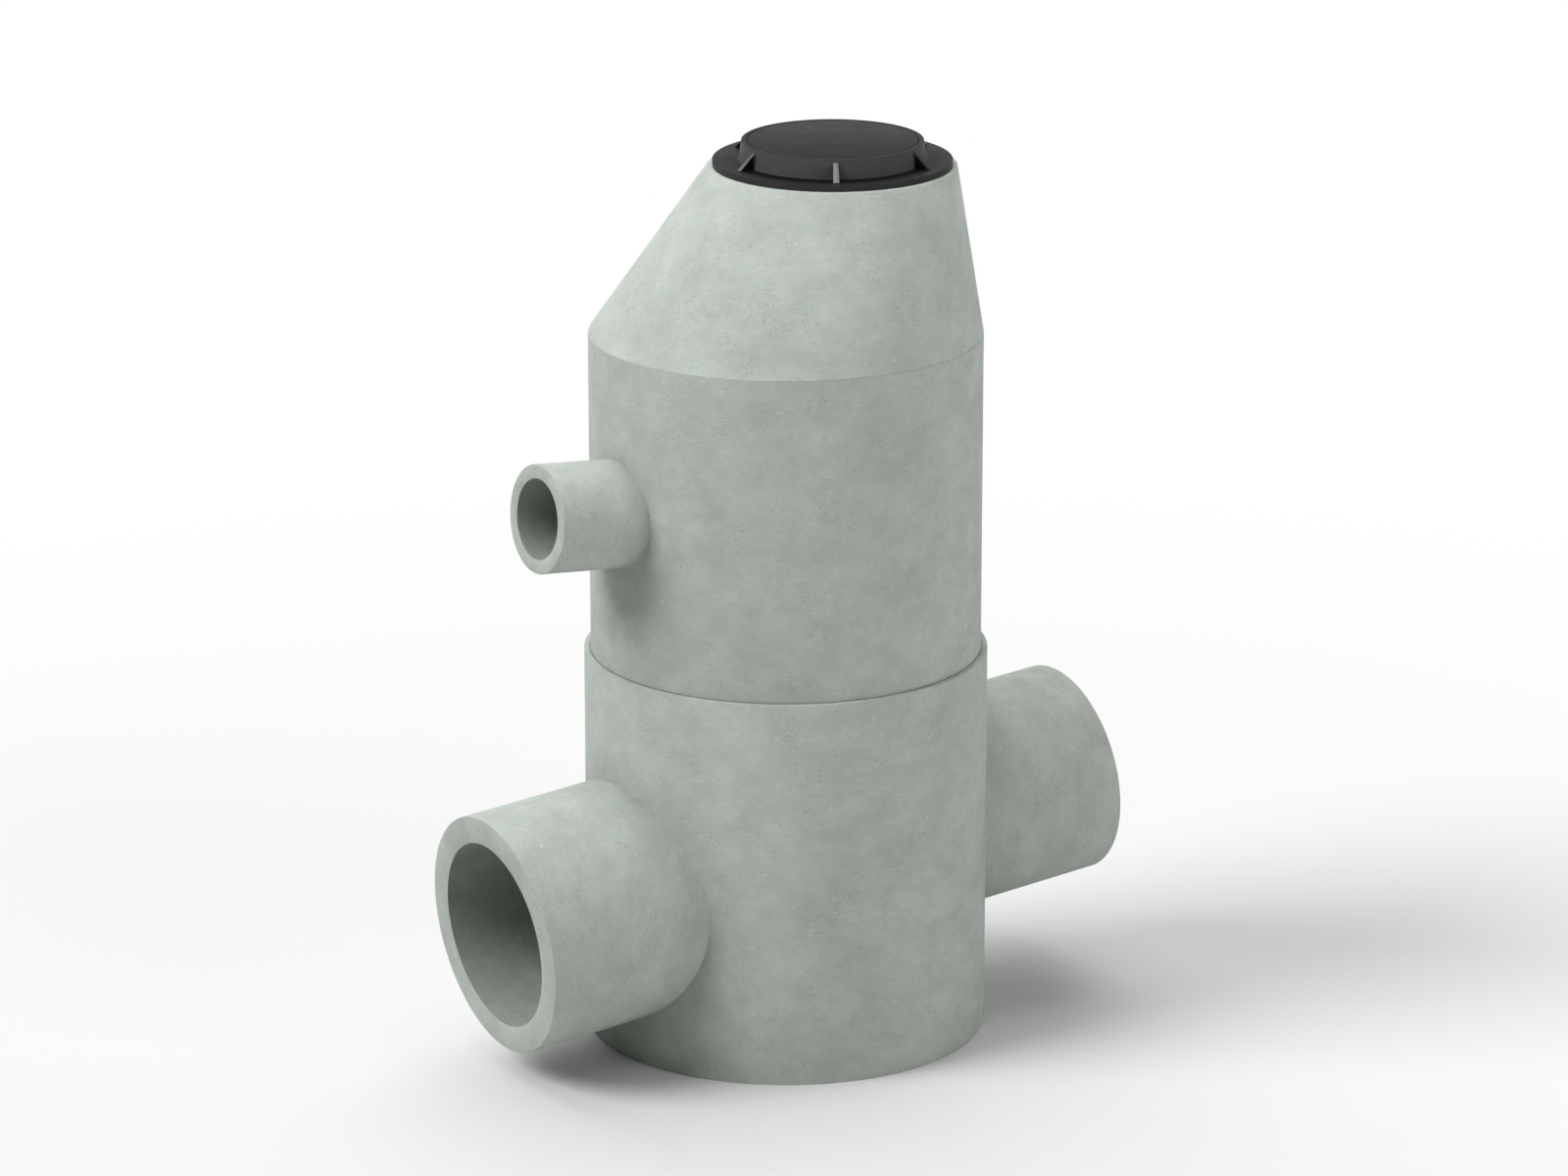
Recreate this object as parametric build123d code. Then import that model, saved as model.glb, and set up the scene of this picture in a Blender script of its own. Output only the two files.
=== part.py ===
from build123d import *
import os
from math import cos, radians, sin, sqrt, tan

# Precast concrete manhole: base unit with pipe ends cast in, riser ring with a side inlet,
# eccentric cone, and a cast-iron cover lying in its frame.
# Millimetres. The origin is the centre of the base's underside, +Z is up.
# The outlet and the side inlet point to -X, the inlet and the cone's offset to +X.

# Shaft
shaft_radius = 600.0
base_wall = 175.0
base_height = 1515.0
floor_thickness = 200.0
riser_wall = 150.0
riser_height = 1245.0

# Arris taken off every outer concrete edge
arris = 3.0

# Joint between two shaft pieces: a stepped tongue below, a plain socket above
tongue_height = 50.0
tongue_root_thickness = 52.0
tongue_tip_thickness = 40.0
tongue_step_height = 20.0
socket_side_gap = 2.0
socket_top_gap = 6.0
joint_seal_height = 18.0
joint_seal_lip = 5.0

# Main pipes, on one straight line that falls towards the outlet.
# A stub is the length beyond the wall, measured on the pipe's axis.
pipe_slope = 4.9
pipe_axis_height = 682.5
outlet_bore_radius = 360.0
outlet_wall = 104.0
outlet_stub = 526.0
inlet_bore_radius = 300.0
inlet_wall = 113.5
inlet_stub = 518.0

# Side inlet in the riser, falling into the shaft; its rise is from the riser's underside
side_slope = 4.9
side_rise = 572.5
side_bore_radius = 153.0
side_wall = 53.5
side_stub = 342.5

# Benching and its channel; the rise is from the pipes' axis to the benching's lower edge
benching_rise = 317.5
benching_fall = 0.05
channel_taper_length = 600.0

# Eccentric cone. The setback is how far the throat stands in from the wall over the steps.
cone_height = 620.0
cone_setback = 80.5
cone_top_wall = 160.0
cone_throat_margin = 12.5
cone_neck_height = 60.0

# Cover frame, one casting
frame_opening_radius = 300.0
frame_height = 96.0
frame_skirt_wall = 20.0
frame_edge = 2.0
flange_thickness = 23.0
flange_margin = 17.5
collar_wall = 18.5
collar_flare = 9.5
ledge_thickness = 14.0
gusset_count = 6
gusset_reach = 59.0
gusset_drop = 10.5
gusset_foot_width = 25.0
gusset_top_width = 21.0

# Cover disc and the ring that it lies on
cover_seat_width = 24.0
cover_gap = 3.0
cover_edge_height = 41.0
cover_plate_thickness = 16.0
cover_rim_width = 20.0
cover_edge = 1.5
cover_rib_count = 6
cover_rib_thickness = 12.0
cover_rib_lift = 6.0
cover_hub_radius = 55.0
seat_ring_thickness = 4.0
seat_ring_inset = 2.0

# Step irons: octagonal bar, measured across its flats. They are evenly spaced, half a spacing
# away from each joint, so that every joint stays clear of them.
step_count = 8
steps_in_riser = 5
step_bar_width = 25.0
step_half_width = 150.0
step_projection = 150.0
step_embedment = 90.0
step_bend = 30.0
step_lug_height = 20.0
step_lug_length = 16.0
step_lug_thickness = 18.0

# Radii that follow from the sizes above
base_outer_radius = shaft_radius + base_wall
riser_outer_radius = shaft_radius + riser_wall
socket_radius = shaft_radius + tongue_root_thickness + socket_side_gap
outlet_outer_radius = outlet_bore_radius + outlet_wall
inlet_outer_radius = inlet_bore_radius + inlet_wall
side_outer_radius = side_bore_radius + side_wall
cone_throat_radius = frame_opening_radius + cone_throat_margin
cone_top_radius = cone_throat_radius + cone_top_wall
cone_offset = shaft_radius - cone_throat_radius - cone_setback
flange_radius = cone_top_radius - flange_margin
cover_radius = frame_opening_radius + cover_seat_width
pocket_radius = cover_radius + cover_gap
collar_top_radius = pocket_radius + collar_wall
collar_foot_radius = collar_top_radius + collar_flare
frame_skirt_radius = collar_foot_radius - frame_skirt_wall

# Heights and lengths that follow
riser_bottom = base_height
cone_bottom = riser_bottom + riser_height
cone_top = cone_bottom + cone_height
frame_top = cone_top + frame_height
flange_top = cone_top + flange_thickness
joint_depth = tongue_height + socket_top_gap
cone_bore_bottom = cone_bottom + joint_depth
cone_bore_top = cone_top - cone_neck_height
benching_height = pipe_axis_height + benching_rise
cover_bottom = frame_top - cover_edge_height
ledge_height = cover_bottom - seat_ring_thickness
outlet_reach = base_outer_radius + outlet_stub
inlet_reach = base_outer_radius + inlet_stub
side_reach = riser_outer_radius + side_stub
step_spacing = riser_height / steps_in_riser
step_heights = [riser_bottom + (number - 0.5) * step_spacing for number in range(step_count)]

BOTTOM = (Align.CENTER, Align.CENTER, Align.MIN)
overshoot = 10.0


def turned(points, x=0.0):
    """Solid of revolution of an outline of (radius, height) points about the vertical line at x."""
    return Pos(x, 0, 0) * revolve(Plane.XZ * Polygon(*points, align=None), Axis.Z)


def tongue(low):
    """Stepped tongue that stands on a bearing ledge; the joint seal lies on its step."""
    root = shaft_radius + tongue_root_thickness
    tip = shaft_radius + tongue_tip_thickness
    return turned([
        (shaft_radius, low - overshoot),
        (root, low - overshoot),
        (root, low + tongue_step_height),
        (tip, low + tongue_step_height),
        (tip, low + tongue_height),
        (shaft_radius, low + tongue_height),
    ])


def socket(low):
    """Room that a shaft piece leaves for the tongue of the piece below it."""
    return Pos(0, 0, low) * Cylinder(socket_radius, joint_depth, align=BOTTOM)


def joint_seal(low):
    """Rubber wedge ring between the tongue's tip and the socket, lying on the tongue's step."""
    bottom = low + tongue_step_height
    inner = shaft_radius + tongue_tip_thickness
    top = bottom + joint_seal_height
    return turned([
        (inner, bottom),
        (socket_radius, bottom),
        (socket_radius, top - joint_seal_lip),
        (inner, top),
    ])


def pipe_line(height, slope, side):
    """Plane on the shaft axis whose normal runs out along a pipe that rises away from the shaft."""
    rise = radians(slope)
    return Plane(origin=(0, 0, height), x_dir=(0, 1, 0), z_dir=(side * cos(rise), 0, sin(rise)))


outlet_line = pipe_line(pipe_axis_height, -pipe_slope, -1)
inlet_line = pipe_line(pipe_axis_height, pipe_slope, 1)
side_line = pipe_line(riser_bottom + side_rise, side_slope, -1)


def pipe_body(line, outer_radius, reach):
    """Unbored pipe from the shaft's inner face outwards, also the opening it takes in the wall."""
    body = Cylinder(outer_radius, reach, align=BOTTOM)
    square_end = body.edges().filter_by(GeomType.CIRCLE).sort_by(Axis.Z)[-1]
    shaft = Cylinder(shaft_radius, cone_bottom, align=BOTTOM)
    return line * chamfer(square_end, arris) - shaft


def pipe(line, outer_radius, bore_radius, reach):
    """Concrete pipe end, cut flush with the shaft's inner face."""
    bore = line * Cylinder(bore_radius, reach + overshoot, align=BOTTOM)
    return pipe_body(line, outer_radius, reach) - bore


def step_wall_face(height):
    """Distance from the shaft axis to the wall beside the step's legs, on the +X side."""
    share = (height - cone_bore_bottom) / (cone_bore_top - cone_bore_bottom)
    share = min(max(share, 0.0), 1.0)
    centre = share * cone_offset
    radius = shaft_radius + share * (cone_throat_radius - shaft_radius)
    return centre + sqrt(radius ** 2 - step_half_width ** 2)


def step_bar(height):
    """Bar bent to a U with mitred corners; its two ends sit in holes of the same section."""
    face = step_wall_face(height)
    root = face + step_embedment
    tread = face - step_projection + step_bar_width / 2
    path = Polyline(
        (root, -step_half_width, height),
        (tread + step_bend, -step_half_width, height),
        (tread, step_bend - step_half_width, height),
        (tread, step_half_width - step_bend, height),
        (tread + step_bend, step_half_width, height),
        (root, step_half_width, height),
    )
    end = Plane(origin=(root, -step_half_width, height), x_dir=(0, 0, 1), z_dir=(-1, 0, 0))
    octagon = RegularPolygon(step_bar_width / 2, 8, major_radius=False, rotation=22.5)
    return sweep(end * octagon, path=path, transition=Transition.RIGHT)


def step_iron(height):
    """Bent bar with a lug at each end of the tread, against slipping off sideways."""
    iron = step_bar(height)
    tread = step_wall_face(height) - step_projection + step_bar_width / 2
    lug_offset = step_half_width - step_bend - step_lug_length / 2
    lug = Box(step_lug_thickness, step_lug_length, step_bar_width / 2 + step_lug_height, align=BOTTOM)
    for side in (-1, 1):
        iron += Pos(tread, side * lug_offset, height) * lug
    return iron


def without_steps(wall, low, high):
    """Takes the holes for the legs of the steps between two heights out of a wall."""
    for height in step_heights:
        if low < height < high:
            wall -= step_bar(height)
    return wall


def base_unit():
    """Round wall on a floor slab, with openings round the two pipe ends."""
    wall = turned([
        (0, 0),
        (base_outer_radius - arris, 0),
        (base_outer_radius, arris),
        (base_outer_radius, base_height - arris),
        (base_outer_radius - arris, base_height),
        (shaft_radius, base_height),
        (shaft_radius, floor_thickness),
        (0, floor_thickness),
    ])
    wall += tongue(base_height)
    wall -= pipe_body(outlet_line, outlet_outer_radius, outlet_reach)
    wall -= pipe_body(inlet_line, inlet_outer_radius, inlet_reach)
    return without_steps(wall, 0, riser_bottom)


def flow_channel():
    """Open channel on the line of the pipes, from the inlet's bore to the outlet's."""
    rise = radians(pipe_slope)
    half_taper = channel_taper_length / 2
    widest = max(outlet_bore_radius, inlet_bore_radius)
    end = shaft_radius / cos(rise) + widest * tan(rise) + overshoot
    straight = Pos(0, 0, half_taper)
    outlet_end = outlet_line * straight * Cylinder(outlet_bore_radius, end - half_taper, align=BOTTOM)
    inlet_end = inlet_line * straight * Cylinder(inlet_bore_radius, end - half_taper, align=BOTTOM)
    taper = inlet_line * Cone(outlet_bore_radius, inlet_bore_radius, channel_taper_length)
    line_plane = Plane(
        origin=(0, 0, pipe_axis_height),
        x_dir=(cos(rise), 0, sin(rise)),
        z_dir=(-sin(rise), 0, cos(rise)),
    )
    outline = Polygon(
        (-end, -outlet_bore_radius),
        (-half_taper, -outlet_bore_radius),
        (half_taper, -inlet_bore_radius),
        (end, -inlet_bore_radius),
        (end, inlet_bore_radius),
        (half_taper, inlet_bore_radius),
        (-half_taper, outlet_bore_radius),
        (-end, outlet_bore_radius),
        align=None,
    )
    above = extrude(line_plane * outline, amount=benching_height, dir=(0, 0, 1))
    return outlet_end + inlet_end + taper + above


def benching():
    """Concrete filling of the base up to the pipes' crown, falling towards the channel."""
    side_height = benching_height + benching_fall * shaft_radius
    filling = Pos(0, 0, floor_thickness) * Cylinder(
        shaft_radius, side_height - floor_thickness, align=BOTTOM
    )
    valley = Polygon(
        (-shaft_radius, side_height),
        (0, benching_height),
        (shaft_radius, side_height),
        align=None,
    )
    top_cut = extrude(Plane.YZ * valley, amount=shaft_radius, both=True)
    return filling - top_cut - flow_channel()


def riser_ring():
    """Straight shaft ring with the opening of the side inlet."""
    wall = turned([
        (shaft_radius, riser_bottom),
        (riser_outer_radius - arris, riser_bottom),
        (riser_outer_radius, riser_bottom + arris),
        (riser_outer_radius, cone_bottom - arris),
        (riser_outer_radius - arris, cone_bottom),
        (shaft_radius, cone_bottom),
    ])
    wall += tongue(cone_bottom)
    wall -= socket(riser_bottom)
    wall -= pipe_body(side_line, side_outer_radius, side_reach)
    return without_steps(wall, riser_bottom, cone_bottom)


def cone():
    """Eccentric cone: steep over the side inlet, nearly upright over the step irons."""
    shell = loft([
        Pos(0, 0, cone_bottom) * Circle(riser_outer_radius - arris),
        Pos(0, 0, cone_bottom + arris) * Circle(riser_outer_radius),
        Pos(cone_offset, 0, cone_top - arris) * Circle(cone_top_radius),
        Pos(cone_offset, 0, cone_top) * Circle(cone_top_radius - arris),
    ], ruled=True)
    shell -= loft([
        Pos(0, 0, cone_bore_bottom) * Circle(shaft_radius),
        Pos(cone_offset, 0, cone_bore_top) * Circle(cone_throat_radius),
    ], ruled=True)
    shell -= Pos(cone_offset, 0, cone_bore_top) * Cylinder(
        cone_throat_radius, cone_neck_height, align=BOTTOM
    )
    shell -= socket(cone_bottom)
    return without_steps(shell, cone_bottom, cone_top)


def gusset():
    """Triangular stiffener from the flange up the collar, slightly thinner at its top."""
    root = (frame_skirt_radius + collar_top_radius) / 2
    foot = collar_foot_radius + gusset_reach
    high = frame_top - gusset_drop
    lean = collar_flare / (frame_height - flange_thickness)
    collar_face = collar_foot_radius - lean * (high - flange_top)
    side = Polygon(
        (root, flange_top - frame_edge),
        (foot, flange_top - frame_edge),
        (foot, flange_top),
        (collar_face, high),
        (root, high),
        align=None,
    )
    front = Polygon(
        (-gusset_foot_width / 2, flange_top - frame_edge),
        (gusset_foot_width / 2, flange_top - frame_edge),
        (gusset_foot_width / 2, flange_top),
        (gusset_top_width / 2, high),
        (-gusset_top_width / 2, high),
        (-gusset_foot_width / 2, flange_top),
        align=None,
    )
    slab = extrude(Plane.XZ * side, amount=gusset_foot_width, both=True)
    return slab & extrude(Plane.YZ * front, amount=flange_radius)


def cover_frame():
    """Flange, tapered collar with the cover's pocket and ledge, and gussets, cast as one."""
    body = turned([
        (frame_skirt_radius, cone_top),
        (flange_radius, cone_top),
        (flange_radius, flange_top - frame_edge),
        (flange_radius - frame_edge, flange_top),
        (collar_foot_radius, flange_top),
        (collar_top_radius, frame_top - frame_edge),
        (collar_top_radius - frame_edge, frame_top),
        (pocket_radius, frame_top),
        (pocket_radius, ledge_height),
        (frame_opening_radius, ledge_height),
        (frame_opening_radius, ledge_height - ledge_thickness),
        (frame_skirt_radius, ledge_height - ledge_thickness),
    ])
    for number in range(gusset_count):
        body += Rot(0, 0, number * 360 / gusset_count) * gusset()
    return Pos(cone_offset, 0, 0) * body


def cover_seat_ring():
    """Damping ring between the frame's ledge and the cover's rim."""
    inner = frame_opening_radius + seat_ring_inset
    outer = cover_radius - seat_ring_inset
    return turned([
        (inner, ledge_height),
        (outer, ledge_height),
        (outer, cover_bottom),
        (inner, cover_bottom),
    ], cone_offset)


def cover_disc():
    """Plain-topped cover with a rim, a hub and radial ribs on its underside."""
    plate_bottom = frame_top - cover_plate_thickness
    rib_bottom = cover_bottom + cover_rib_lift
    rim_radius = cover_radius - cover_rim_width
    body = turned([
        (0, plate_bottom),
        (rim_radius, plate_bottom),
        (rim_radius, cover_bottom),
        (cover_radius, cover_bottom),
        (cover_radius, frame_top - cover_edge),
        (cover_radius - cover_edge, frame_top),
        (0, frame_top),
    ])
    rib_length = rim_radius + cover_rim_width / 2
    rib = Pos(0, 0, rib_bottom) * Box(
        rib_length, cover_rib_thickness, plate_bottom - rib_bottom,
        align=(Align.MIN, Align.CENTER, Align.MIN),
    )
    for number in range(cover_rib_count):
        body += Rot(0, 0, (number + 0.5) * 360 / cover_rib_count) * rib
    body += Pos(0, 0, rib_bottom) * Cylinder(cover_hub_radius, plate_bottom - rib_bottom, align=BOTTOM)
    return Pos(cone_offset, 0, 0) * body


pieces = {
    "base_unit": base_unit(),
    "benching": benching(),
    "outlet_pipe": pipe(outlet_line, outlet_outer_radius, outlet_bore_radius, outlet_reach),
    "inlet_pipe": pipe(inlet_line, inlet_outer_radius, inlet_bore_radius, inlet_reach),
    "base_joint_seal": joint_seal(riser_bottom),
    "riser_ring": riser_ring(),
    "side_inlet_pipe": pipe(side_line, side_outer_radius, side_bore_radius, side_reach),
    "riser_joint_seal": joint_seal(cone_bottom),
    "cone": cone(),
    "cover_frame": cover_frame(),
    "cover_seat_ring": cover_seat_ring(),
    "cover_disc": cover_disc(),
}
for number, height in enumerate(step_heights, start=1):
    pieces[f"step_iron_{number}"] = step_iron(height)

os.makedirs("parts", exist_ok=True)
for name, piece in pieces.items():
    export_step(piece, f"parts/{name}.step")
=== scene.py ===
from math import cos, hypot, pi, radians, sin, sqrt

import bmesh
import bpy
from mathutils import Matrix, Vector


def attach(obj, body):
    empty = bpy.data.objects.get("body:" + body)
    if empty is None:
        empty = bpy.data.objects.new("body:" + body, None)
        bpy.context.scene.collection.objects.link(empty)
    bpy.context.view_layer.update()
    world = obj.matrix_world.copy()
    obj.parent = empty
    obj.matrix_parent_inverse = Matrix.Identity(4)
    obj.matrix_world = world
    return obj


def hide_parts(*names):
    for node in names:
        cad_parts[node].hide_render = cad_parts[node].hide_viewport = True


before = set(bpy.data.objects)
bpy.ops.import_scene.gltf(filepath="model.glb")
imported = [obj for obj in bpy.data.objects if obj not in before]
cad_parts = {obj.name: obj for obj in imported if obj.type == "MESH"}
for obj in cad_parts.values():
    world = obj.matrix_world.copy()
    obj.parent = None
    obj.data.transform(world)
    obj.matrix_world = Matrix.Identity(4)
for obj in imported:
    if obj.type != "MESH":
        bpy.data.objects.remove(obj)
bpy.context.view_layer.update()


# Base unit: a round wall on a floor slab, cast upside down in a steel mould, with holes left
# for the pipe ends. Its top has a bearing ledge and a stepped tongue for the riser.
shaft_radius = 0.600
base_radius = 0.775
base_height = 1.515
floor_thickness = 0.200
arris = 0.003
tongue_radius = shaft_radius + 0.052
tip_radius = shaft_radius + 0.040
tongue_step = 0.020
tongue_height = 0.050
pipe_slope = radians(4.9)
pipe_height = 0.6825
outlet_radius = 0.464
outlet_bore = 0.360
inlet_radius = 0.4135
inlet_bore = 0.300
shaft_steps = 192
pipe_steps = 160


def turned(outline, x=0.0, steps=shaft_steps, closed=True):
    """Shape made by turning a line of (radius, height) corners about the upright line at x."""
    shape = bmesh.new()
    corners = [shape.verts.new((x + radius, 0, height)) for radius, height in outline]
    following = corners[1:] + corners[:1] if closed else corners[1:]
    sides = [shape.edges.new(pair) for pair in zip(corners, following)]
    bmesh.ops.spin(
        shape, geom=corners + sides, cent=(x, 0, 0), axis=(0, 0, 1),
        angle=2 * pi, steps=steps, use_merge=True,
    )
    bmesh.ops.remove_doubles(shape, verts=shape.verts, dist=1e-6)
    bmesh.ops.recalc_face_normals(shape, faces=shape.faces)
    return shape


def hoops(shape, places, x=0.0):
    """The ring edges of a turned shape at the given (radius, height) places."""
    found = []
    for edge in shape.edges:
        for radius, height in places:
            if all(
                abs(hypot(vert.co.x - x, vert.co.y) - radius) < 1e-5
                and abs(vert.co.z - height) < 1e-5
                for vert in edge.verts
            ):
                found.append(edge)
                break
    return found


def round_over(shape, edges, size, segments=3):
    """Rounds edges as the mould's fillets or a rubbing block leave them."""
    bmesh.ops.bevel(
        shape, geom=edges, offset=size, offset_type="OFFSET", segments=segments, profile=0.5,
        affect="EDGES", material=-1, clamp_overlap=True,
    )


def as_object(shape, name):
    """Puts a finished shape into the scene under its own name."""
    mesh = bpy.data.meshes.new(name)
    shape.to_mesh(mesh)
    shape.free()
    piece = bpy.data.objects.new(name, mesh)
    bpy.context.scene.collection.objects.link(piece)
    return piece


def cut_or_join(piece, others, operation):
    """Takes other shapes out of a piece, or casts them onto it, and clears them away."""
    for other in others:
        step = piece.modifiers.new("shape", "BOOLEAN")
        step.operation = operation
        step.solver = "EXACT"
        step.object = other
    graph = bpy.context.evaluated_depsgraph_get()
    result = bpy.data.meshes.new_from_object(piece.evaluated_get(graph))
    piece.modifiers.clear()
    rough = piece.data
    piece.data = result
    bpy.data.meshes.remove(rough)
    result.name = piece.name
    for other in others:
        mesh = other.data
        bpy.data.objects.remove(other)
        bpy.data.meshes.remove(mesh)


def finished(piece, material, nodes, crease=28):
    """Shades a piece smooth between its real edges and hands it over to its CAD nodes."""
    piece.data.shade_smooth()
    piece.data.set_sharp_from_angle(angle=radians(crease))
    piece.data.materials.clear()
    piece.data.materials.append(material)
    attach(piece, "root")
    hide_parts(*nodes)


def along_pipe(height, slope, side):
    """Turns an upright shape on the shaft's axis into the line of a pipe at a height."""
    way = Vector((side * cos(slope), 0, sin(slope)))
    return Matrix.Translation((0, 0, height)) @ way.to_track_quat("Z", "Y").to_matrix().to_4x4()


outlet_line = along_pipe(pipe_height, -pipe_slope, -1)
inlet_line = along_pipe(pipe_height, pipe_slope, 1)


def rod(name, radius, low, high, line=Matrix.Identity(4), steps=pipe_steps):
    """Plain round shape for cutting, from one distance to another along a line."""
    shape = bmesh.new()
    bmesh.ops.create_cone(
        shape, cap_ends=True, segments=steps, radius1=radius, radius2=radius, depth=high - low,
        matrix=line @ Matrix.Translation((0, 0, (low + high) / 2)),
    )
    return as_object(shape, name)


def ranged(tree, source, low, high, out_low, out_high, smooth=False):
    """Stretches a measure that runs from low to high so that it runs from out_low to out_high."""
    node = tree.nodes.new("ShaderNodeMapRange")
    node.interpolation_type = "SMOOTHSTEP" if smooth else "LINEAR"
    node.inputs["From Min"].default_value = low
    node.inputs["From Max"].default_value = high
    node.inputs["To Min"].default_value = out_low
    node.inputs["To Max"].default_value = out_high
    tree.links.new(source, node.inputs["Value"])
    return node.outputs["Result"]


def reckoned(tree, operation, first, second):
    """Sum, product or the like of two measures, or of a measure and a number."""
    node = tree.nodes.new("ShaderNodeMath")
    node.operation = operation
    for socket, source in zip(node.inputs, (first, second)):
        if isinstance(source, (int, float)):
            socket.default_value = source
        else:
            tree.links.new(source, socket)
    return node.outputs["Value"]


def face_group(name, colours):
    """New node group that turns a place and some colours into colour, roughness and relief."""
    group = bpy.data.node_groups.new(name, "ShaderNodeTree")
    ports = group.interface
    ports.new_socket("Place", in_out="INPUT", socket_type="NodeSocketVector")
    for colour in colours:
        ports.new_socket(colour, in_out="INPUT", socket_type="NodeSocketColor")
    ports.new_socket("Colour", in_out="OUTPUT", socket_type="NodeSocketColor")
    ports.new_socket("Roughness", in_out="OUTPUT", socket_type="NodeSocketFloat")
    ports.new_socket("Height", in_out="OUTPUT", socket_type="NodeSocketFloat")
    return group, group.nodes.new("NodeGroupInput"), group.nodes.new("NodeGroupOutput")


def concrete_face_group():
    """Colour, roughness and relief of a face cast against steel: clouds, pits, pale flecks."""
    group, inside, outside = face_group("cast concrete face", ("Pale", "Green"))
    nodes, links = group.nodes, group.links

    def noise(scale, detail, roughness=0.5, stretch=(1, 1, 1), shift=(0, 0, 0)):
        place = nodes.new("ShaderNodeMapping")
        place.inputs["Scale"].default_value = stretch
        place.inputs["Location"].default_value = shift
        links.new(inside.outputs["Place"], place.inputs["Vector"])
        pattern = nodes.new("ShaderNodeTexNoise")
        pattern.inputs["Scale"].default_value = scale
        pattern.inputs["Detail"].default_value = detail
        pattern.inputs["Roughness"].default_value = roughness
        links.new(place.outputs["Vector"], pattern.inputs["Vector"])
        return pattern.outputs["Fac"]

    def spread(source, *limits):
        return ranged(group, source, *limits)

    def reckon(operation, first, second):
        return reckoned(group, operation, first, second)

    # soft clouds of drier and wetter skin, from a hand down to a grain of sand
    big_clouds = spread(noise(2.6, 2.0), 0.3, 0.7, 0.96, 1.04)
    clouds = spread(noise(6.5, 7.0, 0.74, (1, 1, 1.3)), 0.35, 0.65, 0.91, 1.09)
    grain = spread(noise(330.0, 2.0), 0.25, 0.75, 0.977, 1.023)

    # short lines of grout that ran along the mould
    runs = spread(noise(30.0, 3.0, 0.5, (1, 1, 4.2), (3, 1, 0)), 0.58, 0.72, 1.0, 1.12, True)
    drags = spread(noise(34.0, 3.0, 0.6, (1, 1, 5.0), (0, 7, 2)), 0.57, 0.74, 1.0, 0.87, True)

    # the pits and flecks below have ragged outlines
    ragged = nodes.new("ShaderNodeTexNoise")
    ragged.inputs["Scale"].default_value = 160.0
    ragged.inputs["Detail"].default_value = 2.0
    pull = nodes.new("ShaderNodeVectorMath")
    pull.operation = "SCALE"
    pull.inputs["Scale"].default_value = 0.010
    pulled = nodes.new("ShaderNodeVectorMath")
    pulled.operation = "ADD"
    links.new(inside.outputs["Place"], ragged.inputs["Vector"])
    links.new(ragged.outputs["Color"], pull.inputs[0])
    links.new(inside.outputs["Place"], pulled.inputs[0])
    links.new(pull.outputs["Vector"], pulled.inputs[1])

    def spots(scale):
        pattern = nodes.new("ShaderNodeTexVoronoi")
        pattern.inputs["Scale"].default_value = scale
        pattern.inputs["Randomness"].default_value = 1.0
        links.new(pulled.outputs["Vector"], pattern.inputs["Vector"])
        return pattern.outputs["Distance"]

    # clustered air pits, and single pale flecks where a stone lies just under the skin
    pit_depth = spread(spots(70.0), 0.10, 0.27, 1.0, 0.0, True)
    cluster = spread(noise(9.0, 3.0, 0.6, (1, 1, 1), (5, 5, 5)), 0.51, 0.61, 0.0, 1.0, True)
    pit = reckon("MULTIPLY", pit_depth, cluster)
    pit_shade = spread(pit, 0.0, 1.0, 1.0, 0.62)
    fleck = spread(spots(7.5), 0.025, 0.075, 1.17, 1.0, True)

    shade = reckon("MULTIPLY", big_clouds, clouds)
    for part in (grain, runs, drags, pit_shade, fleck):
        shade = reckon("MULTIPLY", shade, part)

    tint = nodes.new("ShaderNodeMix")
    tint.data_type = "RGBA"
    greener = spread(noise(16.0, 5.0, 0.7, (1, 1, 1.3), (9, 2, 4)), 0.38, 0.62, 0.0, 1.0)
    links.new(greener, tint.inputs["Factor"])
    links.new(inside.outputs["Pale"], tint.inputs["A"])
    links.new(inside.outputs["Green"], tint.inputs["B"])
    shaded = nodes.new("ShaderNodeVectorMath")
    shaded.operation = "SCALE"
    links.new(tint.outputs["Result"], shaded.inputs[0])
    links.new(shade, shaded.inputs["Scale"])
    links.new(shaded.outputs["Vector"], outside.inputs["Colour"])
    links.new(spread(clouds, 0.94, 1.06, 0.82, 0.72), outside.inputs["Roughness"])

    swell = spread(noise(4.0, 2.0, 0.4, (1, 1, 1), (2, 8, 1)), 0.3, 0.7, 0.0, 0.55)
    fine = spread(noise(230.0, 3.0), 0.2, 0.8, 0.0, 0.10)
    relief = reckon("ADD", swell, fine)
    relief = reckon("SUBTRACT", relief, reckon("MULTIPLY", pit, 0.8))
    links.new(relief, outside.inputs["Height"])
    return group


concrete_face = concrete_face_group()


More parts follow.
